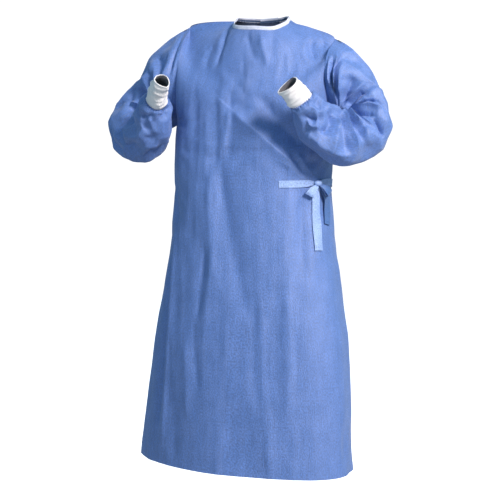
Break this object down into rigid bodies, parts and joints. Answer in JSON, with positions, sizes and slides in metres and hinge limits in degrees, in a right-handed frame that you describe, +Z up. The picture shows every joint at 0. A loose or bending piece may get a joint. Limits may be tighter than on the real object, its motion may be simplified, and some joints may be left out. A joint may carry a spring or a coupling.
{
  "type": "surgical gown",
  "caption": "Worn long-sleeved surgical gown with a wrapped back, a bound round neck, ribbed cuffs and a side tie in a bow, its sleeves bent up in front.",
  "frame": {"origin": "middle of the neck opening, level with the points where the shoulder seams meet the neck", "axes": "+Z up along the body, the front faces -Y, the wearer's left side is at +X"},
  "size_m": [0.8002, 0.4627, 1.2232],
  "materials": {
    "gown_cloth": "matt non-woven polypropylene with a fine bonded point pattern and a slight sheen",
    "cuff_knit": "soft white rib knit",
    "neck_tape": "white folded binding tape with two stitch lines",
    "tie_cloth": "folded non-woven tie of the gown's own cloth"
  },
  "bodies": {
    "root": {"front_panel": "gown_cloth", "back_flap_outer": "gown_cloth", "back_flap_inner": "gown_cloth", "sleeve_left": "gown_cloth", "sleeve_right": "gown_cloth", "cuff_left": "cuff_knit", "cuff_right": "cuff_knit", "neck_binding": "neck_tape", "tie_front": "tie_cloth", "tie_back": "tie_cloth", "bow_knot": "tie_cloth", "loop_left": "tie_cloth", "loop_right": "tie_cloth", "tail_front": "tie_cloth", "tail_back": "tie_cloth"}
  },
  "joints": []
}
